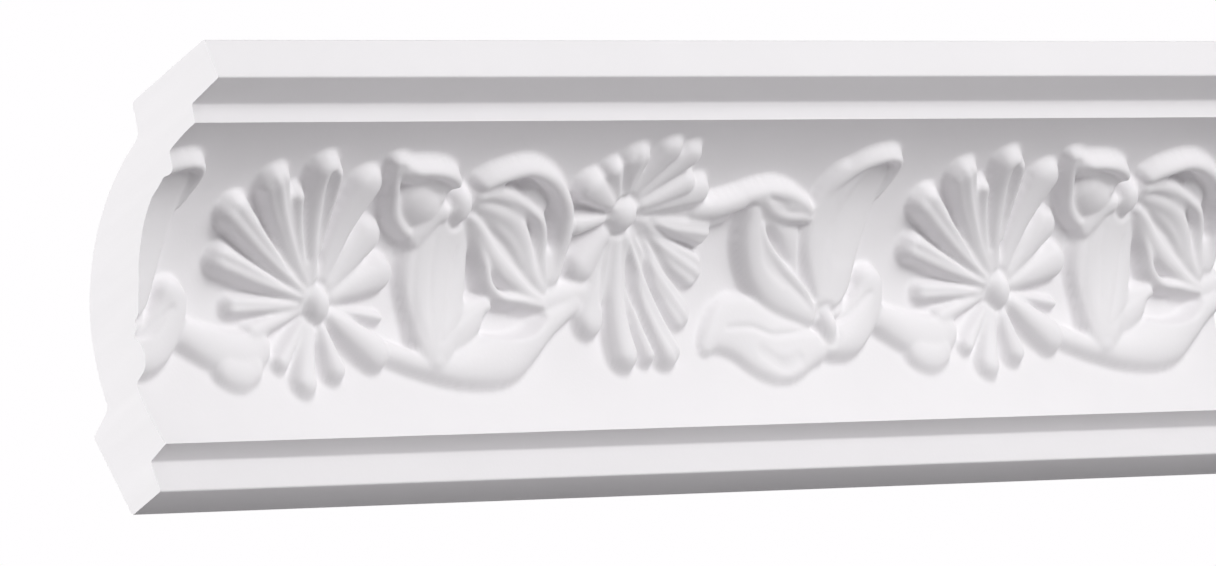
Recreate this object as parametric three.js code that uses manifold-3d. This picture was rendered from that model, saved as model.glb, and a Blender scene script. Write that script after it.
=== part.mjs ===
// Cornice moulding: a cove between a wall leg and a ceiling leg, with a band of
// daisies and lilies in relief. Millimetres, +Z up, +X along the length, room on -Y.
// The origin is in the middle of the face that goes against the wall.

import * as THREE from 'three';
import { mergeVertices } from 'three/addons/utils/BufferGeometryUtils.js';
import Module from 'manifold-3d';

// Driving dimensions of the section, from the wall and the foot upwards
const LENGTH = 500;
const FOOT_DEPTH = 12.3;
const LOWER_STRIP_HEIGHT = 8.8;
const LOWER_STRIP_LEAN = 1.65;
const LOWER_RETURN = 7.4;
const LOWER_RETURN_DROP = 1.1;
const COVE_RADIUS = 58.7;
const COVE_SWEEP = 98.9;
const UPPER_STRIP_HEIGHT = 5;
const UPPER_STRIP_LEAN = 1.9;
const FASCIA_RETURN = 12.2;
const FASCIA_RETURN_DROP = 0.7;
const FASCIA_HEIGHT = 11.7;
const FASCIA_LEAN = 1.3;

// Driving dimensions of the back, which bulges between its two flat contacts
const WALL_CONTACT = 25.6;
const CEILING_CONTACT = 31.5;
const GROOVE_DEPTH = 8;
const WALL_GROOVE_RISE = 3.4;
const CEILING_GROOVE_RUN = 2.7;
const BULGE_STEP = 1.2;
const BULGE_SKIN = 7.65;
const BULGE_SHIFT_Y = 4.4;
const BULGE_SHIFT_Z = 2.2;

// Driving dimensions of the relief
const REPEAT = 312;
const RELIEF_RISE = 6;
const RELIEF_ROOT = 1.2;
const BUTTON_RISE = 8.2;
const BUTTON_SHOULDER = 0.45;
const PETAL_START = 3;
const PETAL_ROOT_WIDTH = 0.45;
const PETAL_ROOT_RISE = 0.7;
const PETAL_MIDDLE_RISE = 0.9;
const DISC_RISE = 0.55;

// How finely curves are cut into facets
const ARC_FACETS = 18;
const STROKE_RINGS = 5;
const STROKE_SIDES = 8;
const BUTTON_RINGS = 6;
const BUTTON_SIDES = 10;

// How square a stroke is at its ends and along its sides, 1 being round, and how far
// its rings crowd towards the ends
const END_ROUNDING = 0.45;
const END_CROWDING = 0.75;
const SIDE_ROUNDING = 0.7;

// The relief is drawn on the cove laid flat: x along the length, s up the curve
const DRAWN_REPEAT = 312;
const DRAWN_HEIGHT = 101.3;

// Points closer than this are one point
const WELD = 1e-4;

const WHITE = new THREE.MeshStandardMaterial({ color: 0xf1eff1, roughness: 0.72, metalness: 0 });

const wasm = await Module();
wasm.setup();

const coveTop = Math.PI / 2;
const coveEnd = THREE.MathUtils.degToRad(90 - COVE_SWEEP);
const coveDepth = COVE_RADIUS * Math.cos(coveEnd);
const coveHeight = COVE_RADIUS * (1 - Math.sin(coveEnd));
const coveFootY = -(FOOT_DEPTH + LOWER_STRIP_LEAN + LOWER_RETURN);
const coveY = coveFootY - coveDepth;
const coveTopZ = -(FASCIA_HEIGHT + FASCIA_RETURN_DROP + UPPER_STRIP_HEIGHT);
const coveZ = coveTopZ - COVE_RADIUS;
const ceilingLeg = -coveY + UPPER_STRIP_LEAN + FASCIA_RETURN + FASCIA_LEAN;
const wallLeg = -coveTopZ + coveHeight + LOWER_RETURN_DROP + LOWER_STRIP_HEIGHT;
const wallMiddle = -(wallLeg - WALL_CONTACT / 2);

// A point on the cove, h above its surface
function onCove(x, s, h) {
  const angle = coveEnd + (coveTop - coveEnd) * (s / DRAWN_HEIGHT);
  const radius = COVE_RADIUS - h;
  return new THREE.Vector3(
    (x * REPEAT) / DRAWN_REPEAT,
    coveY + radius * Math.cos(angle),
    coveZ + radius * Math.sin(angle),
  );
}

// Closed, welded mesh for the boolean work
function toSolid(geometry) {
  const bare = geometry.clone();
  bare.deleteAttribute('normal');
  bare.deleteAttribute('uv');
  const welded = mergeVertices(bare, WELD);
  return new wasm.Manifold(
    new wasm.Mesh({
      numProp: 3,
      vertProperties: new Float32Array(welded.attributes.position.array),
      triVerts: new Uint32Array(welded.index.array),
    }),
  );
}

function toGeometry(solid) {
  const mesh = solid.getMesh();
  const geometry = new THREE.BufferGeometry();
  geometry.setAttribute('position', new THREE.BufferAttribute(mesh.vertProperties, 3));
  geometry.setIndex(new THREE.BufferAttribute(mesh.triVerts, 1));
  return geometry;
}

// Front of the section as (y, z) from the corner of wall and ceiling, top to foot
function drawFront(shape) {
  const stripZ = -wallLeg + LOWER_STRIP_HEIGHT;
  shape.moveTo(-ceilingLeg, 0);
  shape.lineTo(-ceilingLeg + FASCIA_LEAN, -FASCIA_HEIGHT);
  shape.lineTo(coveY - UPPER_STRIP_LEAN, -FASCIA_HEIGHT - FASCIA_RETURN_DROP);
  shape.absarc(coveY, coveZ, COVE_RADIUS, coveTop, coveEnd, true);
  shape.lineTo(coveFootY + LOWER_RETURN, stripZ);
  shape.lineTo(-FOOT_DEPTH, -wallLeg);
}

// Back of the section: wall contact, groove, bulge, groove, ceiling contact
function drawBack(shape) {
  const bulgeY = coveY + BULGE_SHIFT_Y;
  const bulgeZ = coveZ + BULGE_SHIFT_Z;
  const bulgeRadius = COVE_RADIUS + BULGE_SKIN;
  const wallGrooveZ = -wallLeg + WALL_CONTACT + WALL_GROOVE_RISE;
  const ceilingGrooveY = -ceilingLeg + CEILING_CONTACT + CEILING_GROOVE_RUN;
  const bulgeLow = Math.asin((wallGrooveZ + BULGE_STEP - bulgeZ) / bulgeRadius);
  const bulgeHigh = Math.acos((ceilingGrooveY + BULGE_STEP - bulgeY) / bulgeRadius);
  shape.lineTo(0, -wallLeg);
  shape.lineTo(0, -wallLeg + WALL_CONTACT);
  shape.lineTo(-GROOVE_DEPTH, wallGrooveZ);
  shape.absarc(bulgeY, bulgeZ, bulgeRadius, bulgeLow, bulgeHigh, false);
  shape.lineTo(ceilingGrooveY, -GROOVE_DEPTH);
  shape.lineTo(-ceilingLeg + CEILING_CONTACT, 0);
  shape.closePath();
}

// Pushes a sine or cosine outwards, which squares a round section
function squared(value) {
  return Math.sign(value) * Math.abs(value) ** SIDE_ROUNDING;
}

// The relief's own shapes: a sphere stretched along a path on the cove. Each stop on
// the path is [x, s, width, rise], the rise as a share of RELIEF_RISE.
function stroke(stops) {
  const path = new THREE.CatmullRomCurve3(stops.map(([x, s]) => new THREE.Vector3(x, s, 0)));
  const sizes = new THREE.CatmullRomCurve3(
    stops.map(([, , width, rise]) => new THREE.Vector3(width, rise, 0)),
  );
  const rings = Math.max(STROKE_RINGS, stops.length * 2 - 3);
  const geometry = new THREE.SphereGeometry(1, STROKE_SIDES, rings);
  const place = geometry.attributes.position;
  for (let i = 0; i < place.count; i += 1) {
    const spot = new THREE.Vector3().fromBufferAttribute(place, i);
    const along = Math.sign(spot.y) * Math.min(Math.abs(spot.y), 1) ** END_CROWDING;
    const t = (1 - along) / 2;
    const swell = Math.hypot(spot.x, spot.z) ** END_ROUNDING;
    const around = Math.atan2(spot.z, spot.x);
    const centre = path.getPoint(t);
    const heading = path.getTangent(t);
    const size = sizes.getPoint(t);
    const side = squared(Math.cos(around)) * swell * (size.x / 2);
    const lift = squared(Math.sin(around)) * swell;
    const crest = size.y * RELIEF_RISE + RELIEF_ROOT;
    const height = lift > 0 ? lift * crest - RELIEF_ROOT : (lift - 1) * RELIEF_ROOT;
    const point = onCove(centre.x - heading.y * side, centre.y + heading.x * side, height);
    place.setXYZ(i, point.x, point.y, point.z);
  }
  return toSolid(geometry);
}

// Round button in the middle of a flower: a dome on an upright wall
function button(x, s, width, tall) {
  const geometry = new THREE.SphereGeometry(1, BUTTON_SIDES, BUTTON_RINGS);
  const place = geometry.attributes.position;
  const shoulder = BUTTON_RISE * BUTTON_SHOULDER;
  for (let i = 0; i < place.count; i += 1) {
    const spot = new THREE.Vector3().fromBufferAttribute(place, i);
    const ring = Math.hypot(spot.x, spot.z);
    const spread = spot.y < 0 && ring > WELD ? 0.5 / ring : 0.5;
    const reach = spot.y > 0 ? BUTTON_RISE - shoulder : shoulder + RELIEF_ROOT;
    const height = shoulder + spot.y * reach;
    const point = onCove(x + spot.z * spread * width, s + spot.x * spread * tall, height);
    place.setXYZ(i, point.x, point.y, point.z);
  }
  return toSolid(geometry);
}

// One petal of a daisy: [angle, reach, width at the tip, rise, upward bend]
function daisyPetal([x, s], [angle, reach, width, rise, bend = 0]) {
  const turn = THREE.MathUtils.degToRad(angle);
  const at = (share) => [
    x + Math.cos(turn) * reach * share,
    s + Math.sin(turn) * reach * share + bend * Math.sin(Math.PI * share),
  ];
  const start = PETAL_START / reach;
  return stroke([
    [...at(start), width * PETAL_ROOT_WIDTH, rise * PETAL_ROOT_RISE],
    [...at((1 + start) / 2), (width * (1 + PETAL_ROOT_WIDTH)) / 2, rise * PETAL_MIDDLE_RISE],
    [...at(1), width, rise],
  ]);
}

// The low round boss that a daisy's petals spring from
function disc([x, s], radius) {
  const reach = radius / 2;
  return stroke([
    [x - reach, s, radius * 2, DISC_RISE],
    [x, s, radius * 2, DISC_RISE],
    [x + reach, s, radius * 2, DISC_RISE],
  ]);
}

function daisy(flower) {
  const petals = flower.petals.map((petal) => daisyPetal(flower.bud, petal));
  return [...petals, disc(flower.bud, flower.disc), button(...flower.bud)];
}

const DAISY_LEFT = {
  bud: [77.5, 41, 9.5, 13],
  disc: 11,
  petals: [
    [180, 40, 9, 0.75],
    [160, 49, 10.5, 0.95],
    [145, 55.5, 12, 1],
    [126.5, 56, 12, 0.95],
    [115.5, 45, 6, 0.75],
    [104, 54, 12.5, 0.8],
    [92, 47, 7, 0.75],
    [72, 47, 13.5, 0.75],
    [47, 38, 13, 0.8],
    [16, 35, 14, 0.9],
    [-6, 31, 7, 0.75],
    [-35, 36, 15, 1],
    [-73, 26.5, 13, 0.85],
    [-107, 29.5, 12, 0.75],
    [-131, 30, 9, 0.6],
    [-165, 32, 7, 0.6],
  ],
};

const LILY_LEFT = {
  bud: [133, 71, 8.5, 12],
  strokes: {
    topRim: [[97, 89, 4, 0.6], [112, 87, 7.5, 0.95], [124, 83.5, 8, 1], [134, 74, 6, 0.9]],
    leftRim: [[96.5, 89, 4, 0.6], [101, 77, 5, 1], [106, 67, 5.5, 1], [114, 60, 5, 0.8]],
    mound: [[105, 82, 9, 0.6], [115, 72, 18, 1], [126, 63, 10, 0.7]],
    hood: [[137, 80, 6, 0.8], [152, 86.5, 9, 1], [168, 81, 11, 1], [179, 67, 12, 0.95], [180, 44, 8, 0.7]],
    ridgeTop: [[136, 74, 4, 0.9], [151, 74.5, 6, 1], [168, 69, 6, 0.95], [180, 47, 5, 0.75]],
    ridgeUpper: [[138, 71, 4, 0.8], [156, 66, 6, 0.85], [170, 54, 6, 0.75], [182, 41, 4, 0.6]],
    ridgeMiddle: [[137, 69, 4, 0.85], [149, 60, 6, 1], [162, 49, 6.5, 0.9], [183, 39, 4, 0.6]],
    ridgeLow: [[138, 65, 4, 0.8], [147, 52, 5.5, 0.95], [157, 42, 6, 0.9], [182, 37, 4, 0.65]],
    longPetal: [[134, 68, 11, 0.9], [131, 52, 27, 1], [130, 38, 22, 0.85], [124, 22, 8, 0.7]],
    leaf: [[122, 24, 6, 0.7], [138, 33, 14, 0.8], [155, 41, 8, 0.8]],
    bowl: [
      [101, 29, 10, 0.65], [122, 22.5, 11, 0.85], [148, 19.5, 13, 0.95],
      [169, 27, 13, 0.85], [194, 41, 9, 0.6],
    ],
    link: [[164, 36, 8, 0.6], [184, 41, 10, 0.65], [204, 44, 8, 0.55]],
  },
};

const DAISY_RIGHT = {
  bud: [206.8, 67, 12, 12.5],
  disc: 12,
  petals: [
    [196, 24, 9, 0.85],
    [233, 27, 14, 0.9],
    [258, 41, 13.5, 0.85],
    [275, 50, 13.5, 0.9],
    [289, 51, 8, 0.75],
    [299, 56, 13, 0.9, 4],
    [316, 53, 11, 0.85, 4],
    [335, 51, 12, 0.9, 3],
    [354, 46, 9.5, 0.9],
    [16, 41, 11, 0.8],
    [34, 33, 11, 0.75],
    [48, 36, 12.5, 0.7],
    [70, 32, 11, 0.65],
    [86, 24, 7, 0.65],
    [100, 29, 13, 0.7],
    [124, 26, 7, 0.7],
    [148, 30, 13, 0.9],
  ],
};

const LILY_RIGHT = {
  bud: [305.5, 31.5, 8, 12],
  strokes: {
    outerRim: [[258, 76, 6, 0.75], [274, 79, 6.5, 0.85], [287, 75, 6, 0.85], [298, 66, 5, 0.7]],
    innerRim: [[260, 79, 5, 0.8], [272, 71, 7, 0.95], [284, 67, 6, 0.9], [299, 65, 5, 0.7]],
    sidePetal: [[265, 71, 7, 0.9], [269, 55, 11, 1], [281, 41, 12, 0.9], [303, 32, 6, 0.8]],
    ridge: [[269, 68, 5, 0.9], [276, 57, 6.5, 1], [288, 47, 6.5, 0.95], [303, 33, 5, 0.85]],
    backPlane: [[279, 65, 12, 0.5], [291, 55, 17, 0.6], [301, 43, 10, 0.6]],
    upright: [[307, 34, 11, 0.95], [311, 54, 27, 0.95], [313, 72, 28, 0.6], [315, 91, 22, 0.45]],
    uprightRim: [
      [298, 62, 5, 0.85], [300, 77, 6, 0.85], [307, 87, 7, 0.65],
      [322, 89, 6, 0.55], [323, 70, 5, 0.7],
    ],
    rightPetal: [[301, 23, 8, 0.75], [319, 28, 16, 0.95], [331, 40, 16, 1], [329, 53, 10, 0.8]],
    lowerLeaf: [[245, 24, 7, 0.5], [260, 32, 21, 0.85], [280, 25.5, 25, 0.95], [305, 24, 10, 0.75]],
    stemIn: [[235, 69, 9, 0.8], [250, 73, 11, 0.85], [268, 78, 9, 0.85]],
    stemOut: [[323, 37, 9, 0.65], [338, 31, 12, 0.7], [355, 28, 11, 0.65], [376, 29, 8, 0.5]],
    stemLobe: [[345, 24, 10, 0.65], [355, 20.5, 12, 0.7], [367, 23, 10, 0.5]],
  },
};

function lily({ bud, strokes }) {
  return [...Object.values(strokes).map(stroke), button(...bud)];
}

// Everything in one repeat, then the repeats that the length takes in
function reliefSolid() {
  const onePattern = wasm.Manifold.union([
    ...daisy(DAISY_LEFT),
    ...lily(LILY_LEFT),
    ...daisy(DAISY_RIGHT),
    ...lily(LILY_RIGHT),
  ]);
  const repeats = [];
  for (let n = -1; n * REPEAT < LENGTH; n += 1) {
    repeats.push(onePattern.translate([n * REPEAT, 0, 0]));
  }
  const room = new THREE.BoxGeometry(LENGTH, ceilingLeg * 2, wallLeg * 2);
  room.translate(LENGTH / 2, 0, 0);
  return wasm.Manifold.union(repeats).intersect(toSolid(room));
}

function bodySolid() {
  const section = new THREE.Shape();
  drawFront(section);
  drawBack(section);
  const body = new THREE.ExtrudeGeometry(section, {
    depth: LENGTH,
    bevelEnabled: false,
    curveSegments: ARC_FACETS,
  });
  const lengthways = new THREE.Matrix4().set(0, 0, 1, 0, 1, 0, 0, 0, 0, 1, 0, 0, 0, 0, 0, 1);
  return toSolid(body.applyMatrix4(lengthways));
}

const whole = bodySolid().add(reliefSolid()).translate([-LENGTH / 2, 0, -wallMiddle]);
const moulding = new THREE.Mesh(toGeometry(whole), WHITE);
moulding.name = 'cornice_moulding';

const part = new THREE.Group();
part.name = 'cornice_moulding_part';
part.add(moulding);

export default part;
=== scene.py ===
import math

import bmesh
import bpy
import numpy as np
from mathutils import Matrix, Vector


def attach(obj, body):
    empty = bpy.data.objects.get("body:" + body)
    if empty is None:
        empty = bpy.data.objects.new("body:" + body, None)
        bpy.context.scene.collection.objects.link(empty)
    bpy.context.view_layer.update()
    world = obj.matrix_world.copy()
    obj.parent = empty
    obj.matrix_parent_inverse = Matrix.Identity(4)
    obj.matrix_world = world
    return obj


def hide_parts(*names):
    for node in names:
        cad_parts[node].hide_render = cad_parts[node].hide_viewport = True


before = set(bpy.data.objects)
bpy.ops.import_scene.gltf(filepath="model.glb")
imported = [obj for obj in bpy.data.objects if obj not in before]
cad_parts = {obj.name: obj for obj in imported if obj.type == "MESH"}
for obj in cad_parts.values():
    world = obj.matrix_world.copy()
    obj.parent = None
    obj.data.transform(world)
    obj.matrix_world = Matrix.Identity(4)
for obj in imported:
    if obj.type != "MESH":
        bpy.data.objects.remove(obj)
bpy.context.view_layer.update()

# Sizes are in millimetres and angles in degrees. x runs along the moulding from its left end,
# s up the cove from its lower edge and h out of the cove.
moulding = {
    "length": 500.0,
    "repeat": 312.0,
    "coveCentre": (-79.343, 6.18),
    "coveRadius": 58.7,
    "coveStart": -8.9,
    "coveSweep": 98.9,
    "drawnHeight": 101.3,
    # y and z of the section's corners: above the cove to the back, and below it round the wall face.
    "topCorners": [(-81.243, 69.88), (-93.443, 70.58), (-94.743, 82.28), (-63.243, 82.28), (-60.543, 74.28)],
    "footCorners": [(-13.95, -4.0), (-12.3, -12.8), (0.0, -12.8), (0.0, 12.8), (-8.0, 16.2)],
    "backCentre": (-74.943, 8.38),
    "backRadius": 66.35,
    "backTurns": (76.4, 7.81),
    "backFacets": 26,
    "edgeRounding": 0.55,
    # The relief: its grid, how far it stands out, and how soft it is. Flutes and moats are in shares of
    # half a brush's width.
    "columns": 588,
    "rows": 150,
    "reliefRise": 6.0,
    "reliefRoot": 1.2,
    "budRise": 6.8,
    "discRise": 3.3,
    "petalRoot": 3.0,
    "petalWidths": (0.36, 0.72, 1),
    "petalRises": (0.75, 0.92, 1),
    "fluteDepth": 0.8,
    "fluteWidth": 0.2,
    "moatPlace": 1.05,
    "moatWidth": 0.12,
    "softness": 0.62,
    "edgeFade": 2.5,
    "skinTones": ((0.835, 0.818, 0.835, 1), (0.87, 0.853, 0.87, 1)),
    "sawnTones": ((0.80, 0.785, 0.80, 1), (0.87, 0.855, 0.87, 1)),
}

# How full a brush's section is: a low number gives a flat top and steep sides.
roundness = {"plane": 0.6, "blade": 0.22, "stroke": 0.32, "disc": 0.3, "bud": 0.38}

# A petal is angle, length, width, share of the full rise, bend and number of flutes. A plane, blade or
# stroke is drawn through stops of x, s, width and share of the full rise. A hollow's last number is its
# depth. A bud is x, s, width and height, and the disc under it has a width.
daisyLeft = {
    "bud": (78, 41, 9.5, 12.5),
    "disc": 13,
    "petals": [
        (180, 39.5, 7.5, 0.75, 0, 1), (161.5, 49, 10.5, 0.95, 0, 1), (145, 55.5, 12, 1, 0, 1),
        (126.5, 53.5, 12, 0.97, 0, 2), (116.5, 41, 6, 0.92, 0, 0), (103, 50, 11.5, 1, 0, 0),
        (71.5, 45.5, 14.5, 0.88, 0, 0), (45, 35.5, 14, 0.84, 0, 0), (18, 35.5, 13.5, 0.9, 0, 0),
        (-9, 30.5, 4.5, 0.6, 0, 0), (-32, 34.5, 14, 1, 0, 0), (-77, 25.5, 10, 0.85, 0, 0),
        (-112, 30.5, 10.5, 0.75, 0, 0), (-135, 27.5, 7, 0.6, 0, 0), (-164, 32, 7, 0.6, 0, 0),
    ],
    "strokes": [
        [(71, 86.5, 4.5, 0.92), (73.6, 80.5, 4.5, 1), (75.8, 70, 4, 0.98), (77, 56, 3, 0.88)],
        [(66.5, 82, 2.6, 0.96), (69, 75, 2.8, 0.95), (72, 65, 2.6, 0.92), (75, 55, 2.2, 0.85)],
    ],
    "hollows": [
        [(68.3, 85.5, 2.6, 1.2), (70.6, 80, 3.8, 2.4), (73, 71.5, 3, 1.6), (75.5, 60, 2, 0.8)],
        [(41.5, 57.5, 1.6, 1), (52, 53, 2, 2.2), (64, 47.5, 1.8, 2), (71.5, 44.2, 1.4, 1)],
        [(43, 46, 1.4, 0.8), (54, 44.6, 1.8, 1.8), (65, 43, 1.6, 1.6), (71, 42, 1.2, 0.8)],
        [(49.5, 66, 1.6, 1), (58, 59, 2, 1.8), (67, 50.5, 1.8, 1.6), (73, 45.5, 1.4, 0.8)],
        [(63.5, 74, 1.4, 0.8), (68, 64, 1.8, 1.4), (72.5, 53.5, 1.6, 1.2)],
        [(78, 82, 2.2, 0.8), (78.6, 72, 2.6, 1.4), (79, 60, 2, 0.8)],
    ],
}

daisyRight = {
    "bud": (207.8, 67, 12.5, 12),
    "disc": 15,
    "petals": [
        (190, 23.5, 9, 0.85, 0, 0), (232, 27, 13.5, 0.9, 0, 0), (255, 40.5, 12.5, 0.85, 0, 0),
        (275, 49.5, 11.5, 1, 0, 0), (288, 49.5, 7, 0.82, 0, 0), (298.5, 54.5, 12, 1, 1.5, 1),
        (316.5, 51, 11.5, 0.72, 1.5, 2), (335, 49, 12.5, 0.66, 0, 2), (351.5, 45, 10.5, 0.86, -1, 2),
        (1, 37, 9, 0.5, 0, 0), (12, 39, 13, 0.85, 0, 0), (18, 32, 11, 0.72, 0, 0),
        (24, 31, 11, 0.95, 0, 0), (45, 34.5, 11.5, 0.7, 0, 0), (66, 30, 12.5, 0.65, 0, 0),
        (101, 26, 13.5, 0.84, 0, 2), (127.5, 23.5, 8.5, 0.84, 0, 0), (153, 26.5, 13, 1, 0, 0),
    ],
    "strokes": [],
    "hollows": [
        [(188, 70.3, 2, 2), (199, 68.5, 1.6, 1.2)],
        [(221, 65, 1.6, 1), (232, 59.8, 2.4, 1.8), (244, 56.6, 2.4, 2.2)],
        [(219, 66.8, 1.4, 0.4), (232, 69.5, 1.6, 0.6), (243, 71.5, 1.6, 0.6)],
        [(214, 57, 2, 1), (216.3, 50, 4.5, 3.6), (217.2, 44, 4.5, 3.6), (219, 38, 2.5, 1.8)],
        [(218.5, 39, 2, 1.5), (222.8, 30, 2.6, 2.4), (226, 21, 3, 2.5)],
        [(214, 42, 1.4, 0.8), (215.5, 30, 1.6, 1), (216.5, 21, 2, 1.6)],
        [(218, 60.5, 1.6, 0.8), (223, 55.5, 2.4, 1.5), (225, 49.5, 2.8, 2.2), (227.5, 43.5, 3, 2.4),
         (232, 38.3, 3, 2)],
        [(219.5, 61.5, 1.4, 0.8), (225.5, 57.8, 2, 1.4), (230.5, 53, 2.4, 1.6), (236, 48, 2.4, 1.4),
         (242, 45, 2, 0.8)],
        [(204, 58, 2, 0.8), (203.5, 48, 3, 1.8), (203, 38, 3, 1.6)],
        [(200, 85, 1.6, 0.8), (202.4, 79.5, 2, 1.4), (204.8, 74.5, 1.6, 1)],
        [(195, 82, 1.4, 0.5), (199, 77.4, 1.4, 0.7), (202, 73.8, 1.2, 0.5)],
    ],
}

lilyLeft = {
    "bud": (133.6, 70.5, 9, 12.5),
    "planes": [
        [(98, 86, 7, 0.85), (106, 82, 9, 0.85), (113, 80.5, 8, 0.74), (121, 78, 9, 0.68),
         (129, 74.5, 9, 0.72)],
        [(107.5, 77.3, 13, 0.82), (114, 72.5, 18, 0.92), (120, 70, 17, 0.95), (126, 70.5, 13, 0.92)],
        [(120, 74.5, 8, 0.78), (126, 72.5, 8, 0.78)],
        [(137, 74, 8, 0.85), (150, 68, 20, 0.88), (164, 57, 19, 0.84), (180, 42, 8, 0.65)],
        [(138.5, 76.5, 7, 0.9), (145, 77.5, 8, 0.9), (150, 78, 6, 0.8)],
        [(160, 76.5, 9, 0.4), (168, 72, 10, 0.52), (174.5, 65, 10, 0.55)],
        [(177.5, 58, 10, 0.5), (180.5, 50, 12, 0.6), (184.5, 44, 9, 0.56)],
        [(138, 67, 6, 0.75), (143, 60, 6, 0.45), (146, 54, 5, 0.2)],
    ],
    "blades": [
        [(116.5, 57, 7, 0.8), (120, 63, 9, 0.87), (125, 68.3, 8, 0.9), (130.5, 67.5, 6, 0.88)],
        [(134, 66.5, 12, 0.74), (129.5, 53, 29, 0.88), (129.5, 39, 25, 1.06), (127, 29, 17, 1.08),
         (125, 21, 6, 0.85)],
    ],
    "strokes": [
        [(97.5, 87.8, 2.6, 0.6), (105, 84.3, 5, 0.95), (112.5, 84, 5.5, 1), (119.5, 83, 6, 1),
         (125.5, 80.5, 6, 0.97), (128.5, 77, 4.5, 0.9)],
        [(97, 88, 3.5, 0.6), (101, 78, 5.5, 0.84), (105.8, 68.8, 6.2, 0.8), (110.8, 64, 5.8, 0.75),
         (116.5, 60.8, 5, 0.72)],
        [(137.5, 76.8, 5, 0.9), (144.5, 80.9, 6.5, 1), (154.5, 83.7, 6.5, 1), (163.5, 82.1, 6.5, 1),
         (172.5, 77.5, 7, 1), (181, 69.5, 7.5, 1), (184.5, 60, 7, 0.9), (184.2, 52, 7, 0.68),
         (183, 45, 6, 0.6)],
        [(137.5, 73.5, 5, 0.9), (144, 75.2, 6.8, 1), (151.3, 74.2, 8, 1), (158.3, 71.5, 7.8, 1),
         (164.5, 69, 6.5, 0.95), (170.5, 66, 6, 0.9), (174.2, 60.8, 5.6, 0.85), (176, 53, 5.6, 0.78),
         (179.5, 45, 5, 0.68)],
        [(139, 72, 6.5, 0.9), (149.5, 69.2, 9, 0.98), (158, 65.7, 10, 0.98), (165.5, 59, 9.5, 0.92),
         (171, 50.3, 7, 0.82), (178, 43, 4, 0.7)],
        [(137.5, 68.5, 4.5, 0.85), (143.5, 64, 6, 1), (150, 57.3, 8, 1), (157, 51.5, 9, 0.97),
         (164, 47, 8, 0.9), (171, 43, 6, 0.8), (179, 40, 4, 0.7)],
        [(139, 66, 4, 0.8), (145, 59, 4.5, 0.9), (149.5, 52, 5, 1), (152, 46, 5.5, 1),
         (157.5, 42, 5, 0.95), (168, 40.5, 4.5, 0.9), (179, 38.5, 4, 0.75)],
        [(124, 23, 6, 0.7), (138, 32.5, 14, 0.88), (154.5, 40, 8, 0.85)],
        [(103, 28, 7.5, 0.55), (121, 22.8, 8.5, 0.7), (138, 21.5, 13, 0.85), (155, 24, 17.5, 0.95),
         (168, 28.5, 14, 0.92), (181, 34.7, 9.5, 0.8), (196, 41.5, 8, 0.6)],
        [(164, 35, 6, 0.6), (184, 41, 9, 0.65), (204, 44, 8, 0.55)],
    ],
    "hollows": [
        [(119.5, 61, 2.2, 0.4), (119, 40, 2.2, 0.5), (122, 26, 1.4, 0.3)],
        [(126, 62, 2.2, 0.3), (125, 42, 2.2, 0.5), (123.5, 27, 1.4, 0.3)],
        [(136, 58, 2.2, 0.4), (133, 42, 2.2, 0.5), (126, 27, 1.4, 0.3)],
        [(153, 73, 1.4, 0.3), (161, 69.6, 1.8, 0.8), (167, 65.6, 2, 1.1), (171.3, 59, 1.8, 1),
         (173.6, 51.5, 1.4, 0.5)],
        [(145, 66.3, 1.2, 0.4), (151, 62.3, 2, 1.1), (159, 57, 2, 1.3), (167, 49.5, 1.4, 0.7)],
        [(127, 27.5, 1.6, 0.3), (140, 36, 1.8, 0.4), (150, 40.5, 1.2, 0.2)],
        [(150.5, 34.6, 7, 3.4), (158, 33.8, 10, 5), (168, 34, 9, 4.8), (177, 36.3, 3.8, 2)],
        [(175.5, 64, 3, 0.4), (179, 61, 3.4, 0.8), (180.5, 57, 2.4, 0.3)],
    ],
}

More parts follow.
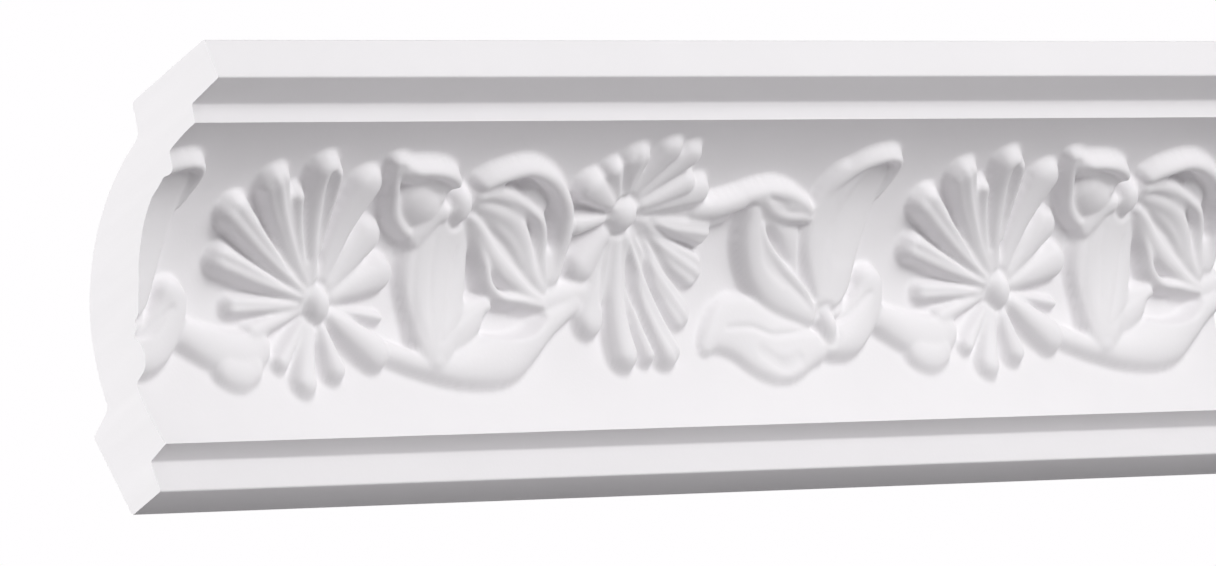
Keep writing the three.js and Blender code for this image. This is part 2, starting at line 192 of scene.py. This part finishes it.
lilyRight = {
    "bud": (306, 31, 7.5, 12.5),
    "planes": [
        [(262, 73, 7, 0.9), (273, 71.5, 10, 0.96), (284, 69.8, 9, 0.92), (294, 67.5, 7, 0.76)],
        [(266, 70.5, 9, 0.8), (279, 64, 12, 0.74), (289, 58, 17, 0.62), (297, 50, 14, 0.55),
         (302, 41, 8, 0.5)],
        [(305, 50, 14, 0.85), (304, 60, 14, 0.74), (307, 70, 15, 0.62), (312, 80, 13, 0.54),
         (319, 86, 9, 0.5)],
        [(240, 64.5, 7, 0.4), (251, 64.5, 8, 0.45), (262, 67, 8, 0.5)],
    ],
    "blades": [
        [(266.5, 71, 6, 0.85), (271.5, 57, 12, 1), (281.5, 44, 14, 0.95), (302, 33, 7, 0.8)],
        [(307, 34, 11, 0.9), (309.5, 46, 21, 0.92), (313, 59, 22, 0.78), (316.5, 72, 19, 0.58),
         (319.5, 84, 13, 0.46)],
        [(302.5, 37, 5, 0.86), (302.5, 46, 11.5, 0.92), (302, 55, 14.5, 0.86), (302.5, 64, 15.5, 0.72),
         (305, 74, 15, 0.58), (309, 82, 11, 0.5)],
        [(249.5, 24.3, 3.5, 0.35), (256, 29.5, 10.5, 0.6), (267, 31.5, 20.5, 0.7),
         (281, 25.3, 23.5, 0.72), (296, 25, 13.5, 0.7), (305, 25, 8, 0.7)],
    ],
    "strokes": [
        [(258, 70.5, 6.5, 0.75), (263, 72.7, 7, 0.9), (271, 74.4, 7, 0.97), (279, 73.6, 7, 0.97),
         (287, 71, 6.5, 0.92), (293.5, 68, 5.5, 0.82), (297, 66, 5, 0.7)],
        [(263, 75, 5, 0.85), (269, 72.6, 6.5, 0.97), (273.5, 69.6, 7, 1), (278, 67.5, 6.5, 1),
         (284, 66.2, 6, 0.97), (289.5, 65.9, 5.5, 0.92), (293.5, 65.2, 5, 0.82), (297, 64, 4.5, 0.7)],
        [(271, 65.5, 4.5, 0.9), (275.5, 58, 6, 1), (286, 49.3, 6, 1), (296.5, 41, 5.5, 0.95),
         (301.5, 34, 4.5, 0.85)],
        [(299, 66, 4, 0.5), (301, 72, 5.2, 0.58), (304.3, 77.8, 6, 0.66), (311.3, 84.4, 5.8, 0.76),
         (319.6, 87.4, 5.4, 0.84), (325.4, 85.2, 4.8, 0.82), (326.8, 78.5, 3.6, 0.7),
         (325.5, 70, 2.4, 0.5)],
        [(302, 25, 7, 0.75), (316, 28, 14, 0.95), (327, 38.3, 15.5, 0.93), (329.3, 48.8, 10.5, 0.88)],
        [(238, 67.5, 7, 0.6), (250, 68.5, 8.5, 0.85), (265, 72.5, 8, 0.9)],
        [(323, 37.8, 8.5, 0.65), (335, 33, 10.5, 0.68), (347, 28.8, 13.5, 0.68), (358, 27.3, 14, 0.66),
         (370, 30.5, 9, 0.5)],
        [(344.5, 25.5, 10, 0.62), (353.5, 22, 12.5, 0.68), (364.5, 25.2, 9.5, 0.58)],
    ],
    "hollows": [
        [(273, 59, 2.4, 0.2), (277, 51, 4, 0.45), (287, 43.5, 3, 0.3)],
        [(269, 75, 1.6, 0.3), (274.5, 72.3, 2, 0.6), (281, 70, 2, 0.6)],
        [(276, 62.5, 2.6, 0.6), (282, 57, 5, 1.7), (290, 50, 3.5, 1)],
        [(312, 52, 12, 0.3), (315, 64, 16, 0.8), (317.5, 75, 12, 0.8), (320.5, 81, 6, 0.3)],
        [(293.5, 62.5, 2.4, 0.8), (295, 54, 3.2, 1.8), (297.6, 46, 3, 2), (300.6, 39, 2.4, 1.4)],
        [(308, 35.2, 2.2, 1), (313, 37.3, 2.6, 1.3), (319, 41.3, 2.2, 0.9)],
        [(308.5, 31.2, 2, 0.9), (316.5, 33.8, 2.4, 1.4), (327, 41.5, 1.8, 0.9)],
        [(259, 31, 1.8, 0.5), (271, 31, 2.2, 0.8), (281, 28.4, 2.2, 0.9), (299, 29.8, 1.6, 0.6)],
        [(272, 24, 6, 0.5), (282, 18.5, 6, 0.8), (291, 21, 5, 0.5)],
    ],
}


# A smooth path through the stops, with width and rise along it.
def pathThrough(stops):
    step = 0.6
    marks = np.array(stops, dtype=float)
    marks = np.vstack([2 * marks[0] - marks[1], marks, 2 * marks[-1] - marks[-2]])
    pieces = []
    for index in range(1, len(marks) - 2):
        before, start, end, after = marks[index - 1:index + 3]
        count = max(2, int(np.hypot(*(end - start)[:2]) / step))
        t = (np.arange(count) / count)[:, None]
        bend = 2 * before - 5 * start + 4 * end - after
        twist = -before + 3 * start - 3 * end + after
        pieces.append(0.5 * (2 * start + (end - before) * t + bend * t**2 + twist * t**3))
    pieces.append(marks[-2:-1])
    path = np.vstack(pieces)
    path[:, 2:] = np.maximum(path[:, 2:], 0.05)
    return path


# The part of a path that a round brush of its width can reach without passing its ends.
def insideEnds(path, inset):
    gaps = np.hypot(*np.diff(path[:, :2], axis=0).T)
    run = np.concatenate([[0.0], np.cumsum(gaps)])
    most = 0.35 * run[-1]
    head = min(inset * path[0, 2] / 2, most)
    tail = min(inset * path[-1, 2] / 2, most)
    keep = (run >= head) & (run <= run[-1] - tail)
    return path[keep], run[keep] / run[-1]


class ReliefField:
    def __init__(self, xs, ss):
        self.xs = xs
        self.ss = ss
        self.height = np.zeros((len(ss), len(xs)))

    # Rows and columns of the field within reach of a path.
    def window(self, path):
        reach = path[:, 2].max() / 2 + 1
        nearX = (self.xs > path[:, 0].min() - reach) & (self.xs < path[:, 0].max() + reach)
        nearS = (self.ss > path[:, 1].min() - reach) & (self.ss < path[:, 1].max() + reach)
        columns = np.nonzero(nearX)[0]
        rows = np.nonzero(nearS)[0]
        if not len(columns) or not len(rows):
            return None
        return slice(rows[0], rows[-1] + 1), slice(columns[0], columns[-1] + 1)

    # For each point near the path: share of the half width, signed side, share along, rise.
    def brush(self, path, share, window):
        rows, columns = window
        gapX = self.xs[columns][None, None, :] - path[:, 0][:, None, None]
        gapS = self.ss[rows][None, :, None] - path[:, 1][:, None, None]
        half = path[:, 2][:, None, None] / 2
        ratio = np.sqrt(gapX**2 + gapS**2) / half
        nearest = ratio.argmin(axis=0)
        tangent = np.gradient(path[:, :2], axis=0)
        tangent /= np.hypot(tangent[:, 0], tangent[:, 1])[:, None] + 1e-9
        across = gapS * tangent[:, 0][:, None, None] - gapX * tangent[:, 1][:, None, None]
        pick = nearest[None]
        side = np.take_along_axis(across, pick, 0)[0] / (path[nearest, 2] / 2)
        return np.take_along_axis(ratio, pick, 0)[0], side, share[nearest], path[nearest, 3]

    def swell(self, stops, fullness, flutes=0):
        path, share = insideEnds(pathThrough(stops), 1)
        window = self.window(path)
        if window is None:
            return
        ratio, side, along, rise = self.brush(path, share, window)
        crest = rise * moulding["reliefRise"] + moulding["reliefRoot"]
        height = np.clip(1 - ratio**2, 0, None) ** fullness * crest - moulding["reliefRoot"]
        rootFade, tipFade = 0.3, 0.06
        fade = np.clip(along / rootFade, 0, 1) * np.clip((1 - along) / tipFade, 0, 1) * (ratio < 1)
        for flute in range(flutes):
            middle = 2 * (flute + 1) / (flutes + 1) - 1
            groove = np.exp(-(((side - middle) / moulding["fluteWidth"]) ** 2))
            height -= moulding["fluteDepth"] * fade * groove
        self.height[window] = np.maximum(self.height[window], height)

    # Takes its depth from what stands up along the path, and never cuts into the cove.
    def hollow(self, stops):
        path, share = insideEnds(pathThrough(stops), 0.5)
        window = self.window(path)
        if window is None:
            return
        ratio, side, along, depth = self.brush(path, share, window)
        here = self.height[window]
        lowered = np.maximum(here - np.clip(1 - ratio**2, 0, None) * depth, 0)
        self.height[window] = np.where(here > 0, lowered, here)

    def ratioFrom(self, x, s, width, tall):
        gapX = (self.xs[None, :] - x) / (width / 2)
        gapS = (self.ss[:, None] - s) / (tall / 2)
        return np.sqrt(gapX**2 + gapS**2)

    def disc(self, x, s, width, tall, fullness, rise):
        ratio = self.ratioFrom(x, s, width, tall)
        self.height = np.maximum(self.height, np.clip(1 - ratio**2, 0, None) ** fullness * rise)

    # A bud stands in a narrow moat.
    def bud(self, x, s, width, tall):
        ratio = self.ratioFrom(x, s, width, tall)
        moat = np.exp(-(((ratio - moulding["moatPlace"]) / moulding["moatWidth"]) ** 2))
        self.height = np.maximum(self.height - moat * (self.height > 0), 0)
        self.disc(x, s, width, tall, roundness["bud"], moulding["budRise"])


def shifted(stops, shift):
    return [(x + shift, *rest) for x, *rest in stops]


def drawDaisy(field, flower, shift):
    x, s, width, tall = flower["bud"]
    for angle, reach, petalWidth, rise, bend, flutes in flower["petals"]:
        turn = math.radians(angle)
        stops = []
        shares = (moulding["petalRoot"] / reach, 0.5, 1)
        for share, wide, high in zip(shares, moulding["petalWidths"], moulding["petalRises"]):
            along = reach * share * math.cos(turn)
            up = reach * share * math.sin(turn) + bend * math.sin(math.pi * share)
            stops.append((x + shift + along, s + up, petalWidth * wide, rise * high))
        field.swell(stops, roundness["stroke"], flutes)
    field.disc(x + shift, s, flower["disc"], flower["disc"], roundness["disc"], moulding["discRise"])
    for stops in flower["hollows"]:
        field.hollow(shifted(stops, shift))
    for stops in flower["strokes"]:
        field.swell(shifted(stops, shift), roundness["stroke"])
    field.bud(x + shift, s, width, tall)


def drawLily(field, flower, shift):
    for kind in ("plane", "blade", "stroke"):
        for stops in flower[kind + "s"]:
            field.swell(shifted(stops, shift), roundness[kind])
    for stops in flower["hollows"]:
        field.hollow(shifted(stops, shift))
    x, s, width, tall = flower["bud"]
    field.bud(x + shift, s, width, tall)


# Softens along one axis with a bell curve that is so many cells wide.
def blur(values, cells, axis):
    reach = int(math.ceil(3 * cells))
    weights = np.exp(-0.5 * (np.arange(-reach, reach + 1) / cells) ** 2)
    weights /= weights.sum()
    pad = [(0, 0), (0, 0)]
    pad[axis] = (reach, reach)
    padded = np.pad(values, pad, mode="edge")
    total = np.zeros_like(values)
    for index, weight in enumerate(weights):
        part = [slice(None), slice(None)]
        part[axis] = slice(index, index + values.shape[axis])
        total += weight * padded[tuple(part)]
    return total


def reliefHeights():
    xs = np.linspace(0, moulding["length"], moulding["columns"] + 1)
    ss = np.linspace(0, moulding["drawnHeight"], moulding["rows"] + 1)
    whole = np.zeros((len(ss), len(xs)))
    flowers = [(drawLily, lilyLeft), (drawLily, lilyRight), (drawDaisy, daisyLeft), (drawDaisy, daisyRight)]
    for draw, flower in flowers:
        for turn in (-1, 0, 1):
            field = ReliefField(xs, ss)
            draw(field, flower, turn * moulding["repeat"])
            whole = np.maximum(whole, field.height)
    whole = blur(whole, moulding["softness"] / (xs[1] - xs[0]), 1)
    whole = blur(whole, moulding["softness"] / (ss[1] - ss[0]), 0)
    edge = np.clip(np.minimum(ss, ss[-1] - ss) / moulding["edgeFade"], 0, 1)
    return whole * (edge * edge * (3 - 2 * edge))[:, None]


def onCove(x, s, h):
    y, z = moulding["coveCentre"]
    turn = math.radians(moulding["coveStart"] + moulding["coveSweep"] * s / moulding["drawnHeight"])
    radius = moulding["coveRadius"] - h
    place = Vector((x - moulding["length"] / 2, y + radius * math.cos(turn), z + radius * math.sin(turn)))
    return place / 1000


# The round back of the section, from its top to its foot.
def backPoints():
    count = moulding["backFacets"]
    radius = moulding["backRadius"]
    y, z = moulding["backCentre"]
    start, end = moulding["backTurns"]
    points = []
    for index in range(count + 1):
        turn = math.radians(start + (end - start) * index / count)
        points.append((y + radius * math.cos(turn), z + radius * math.sin(turn)))
    return points


# One new strip from a row of edges to the next corner of the section.
def drawStrip(mesh, edges, y, z):
    made = bmesh.ops.extrude_edge_only(mesh, edges=edges)["geom"]
    for item in made:
        if isinstance(item, bmesh.types.BMVert):
            item.co.y = y / 1000
            item.co.z = z / 1000
    edges = [item for item in made if isinstance(item, bmesh.types.BMEdge)]
    return [edge for edge in edges if abs(edge.verts[0].co.x - edge.verts[1].co.x) > 1e-6]


# The strip's outer row becomes one long edge.
def oneLongEdge(mesh, edges):
    half = moulding["length"] / 2000
    row = {vert for edge in edges for vert in edge.verts}
    inner = {vert for vert in row if abs(abs(vert.co.x) - half) > 1e-6}
    first, last = row - inner
    bmesh.ops.dissolve_verts(mesh, verts=list(inner))
    return [edge for edge in first.link_edges if edge.other_vert(first) is last]


# Every point of the flat grid goes to its place on the cove.
def layOnCove(mesh, heights):
    rows, columns = heights.shape
    for vert in mesh.verts:
        column = round((vert.co.x + 1) / 2 * (columns - 1))
        row = round((vert.co.y + 1) / 2 * (rows - 1))
        x = moulding["length"] * column / (columns - 1)
        s = moulding["drawnHeight"] * row / (rows - 1)
        vert.co = onCove(x, s, heights[row, column])


# The grid's rim edges that lie along one edge of the cove.
def rimAlong(mesh, place):
    def near(vert):
        return abs(vert.co.y - place.y) + abs(vert.co.z - place.z) < 1e-7

    rims = [edge for edge in mesh.edges if edge.is_boundary]
    return [edge for edge in rims if near(edge.verts[0]) and near(edge.verts[1])]


# Draws the plain section from both edges of the cove and joins the two at the back.
def drawSection(mesh, upper, lower):
    corners = moulding["topCorners"] + backPoints()
    top = oneLongEdge(mesh, drawStrip(mesh, upper, *corners[0]))
    for y, z in corners[1:]:
        top = drawStrip(mesh, top, y, z)
    corners = moulding["footCorners"]
    foot = oneLongEdge(mesh, drawStrip(mesh, lower, *corners[0]))
    for y, z in corners[1:]:
        foot = drawStrip(mesh, foot, y, z)
    bmesh.ops.bridge_loops(mesh, edges=[top[0], foot[0]])
    bmesh.ops.recalc_face_normals(mesh, faces=mesh.faces)


# Softens the long corners of the plain section.
def roundCorners(mesh):
    length = moulding["length"] / 1000
    sharp = 0.25
    corners = []
    for edge in mesh.edges:
        whole = abs(edge.verts[0].co.x - edge.verts[1].co.x) > length - 1e-5
        if whole and len(edge.link_faces) == 2 and edge.calc_face_angle(0) > sharp:
            corners.append(edge)
    bmesh.ops.bevel(mesh, geom=corners, offset=moulding["edgeRounding"] / 1000, affect="EDGES",
                    segments=3, profile=0.5, material=-1, clamp_overlap=True)


# The cut ends are flat faces, marked for the sawn look.
def closeEnds(mesh):
    cut = mesh.faces.layers.float.new("cutEnd")
    rims = [edge for edge in mesh.edges if edge.is_boundary]
    ends = bmesh.ops.holes_fill(mesh, edges=rims, sides=0)["faces"]
    bmesh.ops.recalc_face_normals(mesh, faces=mesh.faces)
    for face in mesh.faces:
        face.smooth = face not in ends
    for face in ends:
        face[cut] = 1.0
        for edge in face.edges:
            edge.smooth = False


def buildMoulding():
    mesh = bmesh.new()
    bmesh.ops.create_grid(mesh, x_segments=moulding["columns"], y_segments=moulding["rows"], size=1)
    layOnCove(mesh, reliefHeights())
    upper = rimAlong(mesh, onCove(0, moulding["drawnHeight"], 0))
    lower = rimAlong(mesh, onCove(0, 0, 0))
    drawSection(mesh, upper, lower)
    roundCorners(mesh)
    closeEnds(mesh)
    for edge in upper + lower:
        edge.smooth = False
    data = bpy.data.meshes.new("corniceMoulding")
    mesh.to_mesh(data)
    mesh.free()
    piece = bpy.data.objects.new("corniceMoulding", data)
    bpy.context.collection.objects.link(piece)
    return piece


class Maths:
    def __init__(self, shader, socket):
        self.shader = shader
        self.socket = socket

    def combine(self, operation, first, second):
        node = self.shader.node("ShaderNodeMath", {"operation": operation}, {0: first, 1: second})
        return Maths(self.shader, node.outputs[0])

    def __add__(self, other):
        return self.combine("ADD", self, other)

    def __radd__(self, other):
        return self.combine("ADD", other, self)

    def __sub__(self, other):
        return self.combine("SUBTRACT", self, other)

    def __rsub__(self, other):
        return self.combine("SUBTRACT", other, self)

    def __mul__(self, other):
        return self.combine("MULTIPLY", self, other)

    def __rmul__(self, other):
        return self.combine("MULTIPLY", other, self)


class Shader:
    def __init__(self, holder, surface, coordinates):
        holder.use_nodes = True
        self.holder = holder
        self.tree = holder.node_tree
        self.surface = self.tree.nodes[surface]
        self.coordinates = self.node("ShaderNodeTexCoord").outputs[coordinates]

    # A socket takes a link or a plain value.
    def feed(self, socket, value):
        if isinstance(value, Maths):
            value = value.socket
        if isinstance(value, bpy.types.NodeSocket):
            self.tree.links.new(value, socket)
        else:
            socket.default_value = value

    # Makes every node from its type, its settings and what goes into its sockets.
    def node(self, kind, settings=None, sockets=None):
        made = self.tree.nodes.new(kind)
        for name, value in (settings or {}).items():
            setattr(made, name, value)
        for name, value in (sockets or {}).items():
            self.feed(made.inputs[name], value)
        return made

    def noise(self, scale, detail=3, stretch=(1, 1, 1)):
        place = self.node("ShaderNodeMapping", None, {"Vector": self.coordinates, "Scale": stretch})
        made = self.node("ShaderNodeTexNoise", None,
                         {"Vector": place.outputs[0], "Scale": scale, "Detail": detail})
        return Maths(self, made.outputs[0])

    def attribute(self, name):
        return Maths(self, self.node("ShaderNodeAttribute", {"attribute_name": name}).outputs["Fac"])

    # Inputs 6 and 7 and output 2 are the node's colour sockets.
    def mix(self, factor, first, second):
        return self.node("ShaderNodeMix", {"data_type": "RGBA"}, {0: factor, 6: first, 7: second}).outputs[2]

    def put(self, name, value):
        self.feed(self.surface.inputs[name], value)


def paint(name):
    return Shader(bpy.data.materials.new(name), "Principled BSDF", "Object")


def primedFoam():
    shader = paint("primedFoam")
    cut = shader.attribute("cutEnd")
    clouds = shader.noise(26, 4)
    streaks = shader.noise(120, 2, (1, 0.12, 1))
    skin = shader.mix(clouds * 0.8 + 0.1, *moulding["skinTones"])
    sawn = shader.mix(streaks, *moulding["sawnTones"])
    shader.put("Base Color", shader.mix(cut, skin, sawn))
    shader.put("Roughness", 0.62 + clouds * 0.12 + cut * 0.15)
    shader.put("IOR", 1.45)
    shader.put("Specular IOR Level", 0.3)
    grain = shader.noise(900, 2)
    relief = grain * 0.35 + clouds * 0.25 + cut * streaks * 1.5
    bump = shader.node("ShaderNodeBump", None, {"Strength": 0.12, "Distance": 0.0006, "Height": relief})
    shader.put("Normal", bump.outputs[0])
    return shader.holder


studio = {
    "cameraPlace": (-3.1933, -2.21947, -1.33726),
    "cameraRight": (0.63378386, -0.64400396, -0.42845878),
    "cameraUp": (0.01233527, -0.54542956, 0.83806589),
    "cameraBack": (-0.77341183, -0.53643779, -0.33774049),
    "lens": 419.4,
    "floorHeight": -2.4,
    "floorHalf": 9.0,
    "floorTones": ((0.70, 0.69, 0.70, 1), (0.74, 0.73, 0.74, 1)),
    "lampDistance": 3.2,
    "lampSize": 1.8,
    "skyStrength": 0.05,
    # Where each lamp stands as seen from the moulding, and its watts.
    "lamps": {
        "frontLamp": ((0, -1, 0), 60),
        "rightLamp": ((0.44, -0.9, 0.13), 28),
        "topLamp": ((0, -0.8, 0.6), 12),
        "endLamp": ((-0.92, 0.28, 0.32), 98),
    },
}


def plainFloor():
    shader = paint("paleFloor")
    clouds = shader.noise(3, 2)
    shader.put("Base Color", shader.mix(clouds, *studio["floorTones"]))
    shader.put("Roughness", 0.9)
    return shader.holder


def buildFloor():
    mesh = bmesh.new()
    bmesh.ops.create_grid(mesh, x_segments=8, y_segments=8, size=studio["floorHalf"])
    data = bpy.data.meshes.new("studioFloor")
    mesh.to_mesh(data)
    mesh.free()
    floor = bpy.data.objects.new("studioFloor", data)
    floor.location.z = studio["floorHeight"]
    floor.data.materials.append(plainFloor())
    bpy.context.collection.objects.link(floor)
    return floor


def setCamera():
    data = bpy.data.cameras.new("studioCamera")
    data.sensor_width = 36
    data.lens = studio["lens"]
    data.clip_start = 0.05
    data.clip_end = 60
    data.dof.use_dof = False
    camera = bpy.data.objects.new("studioCamera", data)
    axes = Matrix((studio["cameraRight"], studio["cameraUp"], studio["cameraBack"])).transposed()
    camera.matrix_world = Matrix.Translation(studio["cameraPlace"]) @ axes.to_4x4()
    bpy.context.collection.objects.link(camera)
    bpy.context.scene.camera = camera


# A round soft lamp that shines on the middle of the moulding.
def softLamp(name, direction, watts):
    way = Vector(direction).normalized()
    data = bpy.data.lights.new(name, "AREA")
    data.shape = "DISK"
    data.size = studio["lampSize"]
    data.energy = watts
    lamp = bpy.data.objects.new(name, data)
    lamp.location = way * studio["lampDistance"]
    lamp.rotation_euler = way.to_track_quat("Z", "Y").to_euler()
    bpy.context.collection.objects.link(lamp)


# A dim sky that is white behind the moulding.
def setSky():
    shader = Shader(bpy.data.worlds.new("studioSky"), "Background", "Generated")
    ahead = [-value for value in studio["cameraBack"]]
    along = shader.node("ShaderNodeVectorMath", {"operation": "DOT_PRODUCT"},
                        {0: shader.coordinates, 1: ahead})
    light = shader.node("ShaderNodeMapRange", {"interpolation_type": "SMOOTHSTEP"},
                        {"Value": along.outputs["Value"], "From Min": 0.93, "From Max": 0.98,
                         "To Min": studio["skyStrength"], "To Max": 1.0})
    shader.put("Color", (1, 0.99, 1, 1))
    shader.put("Strength", light.outputs["Result"])
    bpy.context.scene.world = shader.holder


print("drawing the relief and the section")
piece = buildMoulding()
print("painting the moulding")
piece.data.materials.append(primedFoam())
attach(piece, "root")
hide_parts("cornice_moulding")
print("moulding faces", len(piece.data.polygons))

print("setting the studio")
buildFloor()
setSky()
setCamera()
for name, (direction, watts) in studio["lamps"].items():
    softLamp(name, direction, watts)
bpy.context.scene.view_settings.view_transform = "Standard"
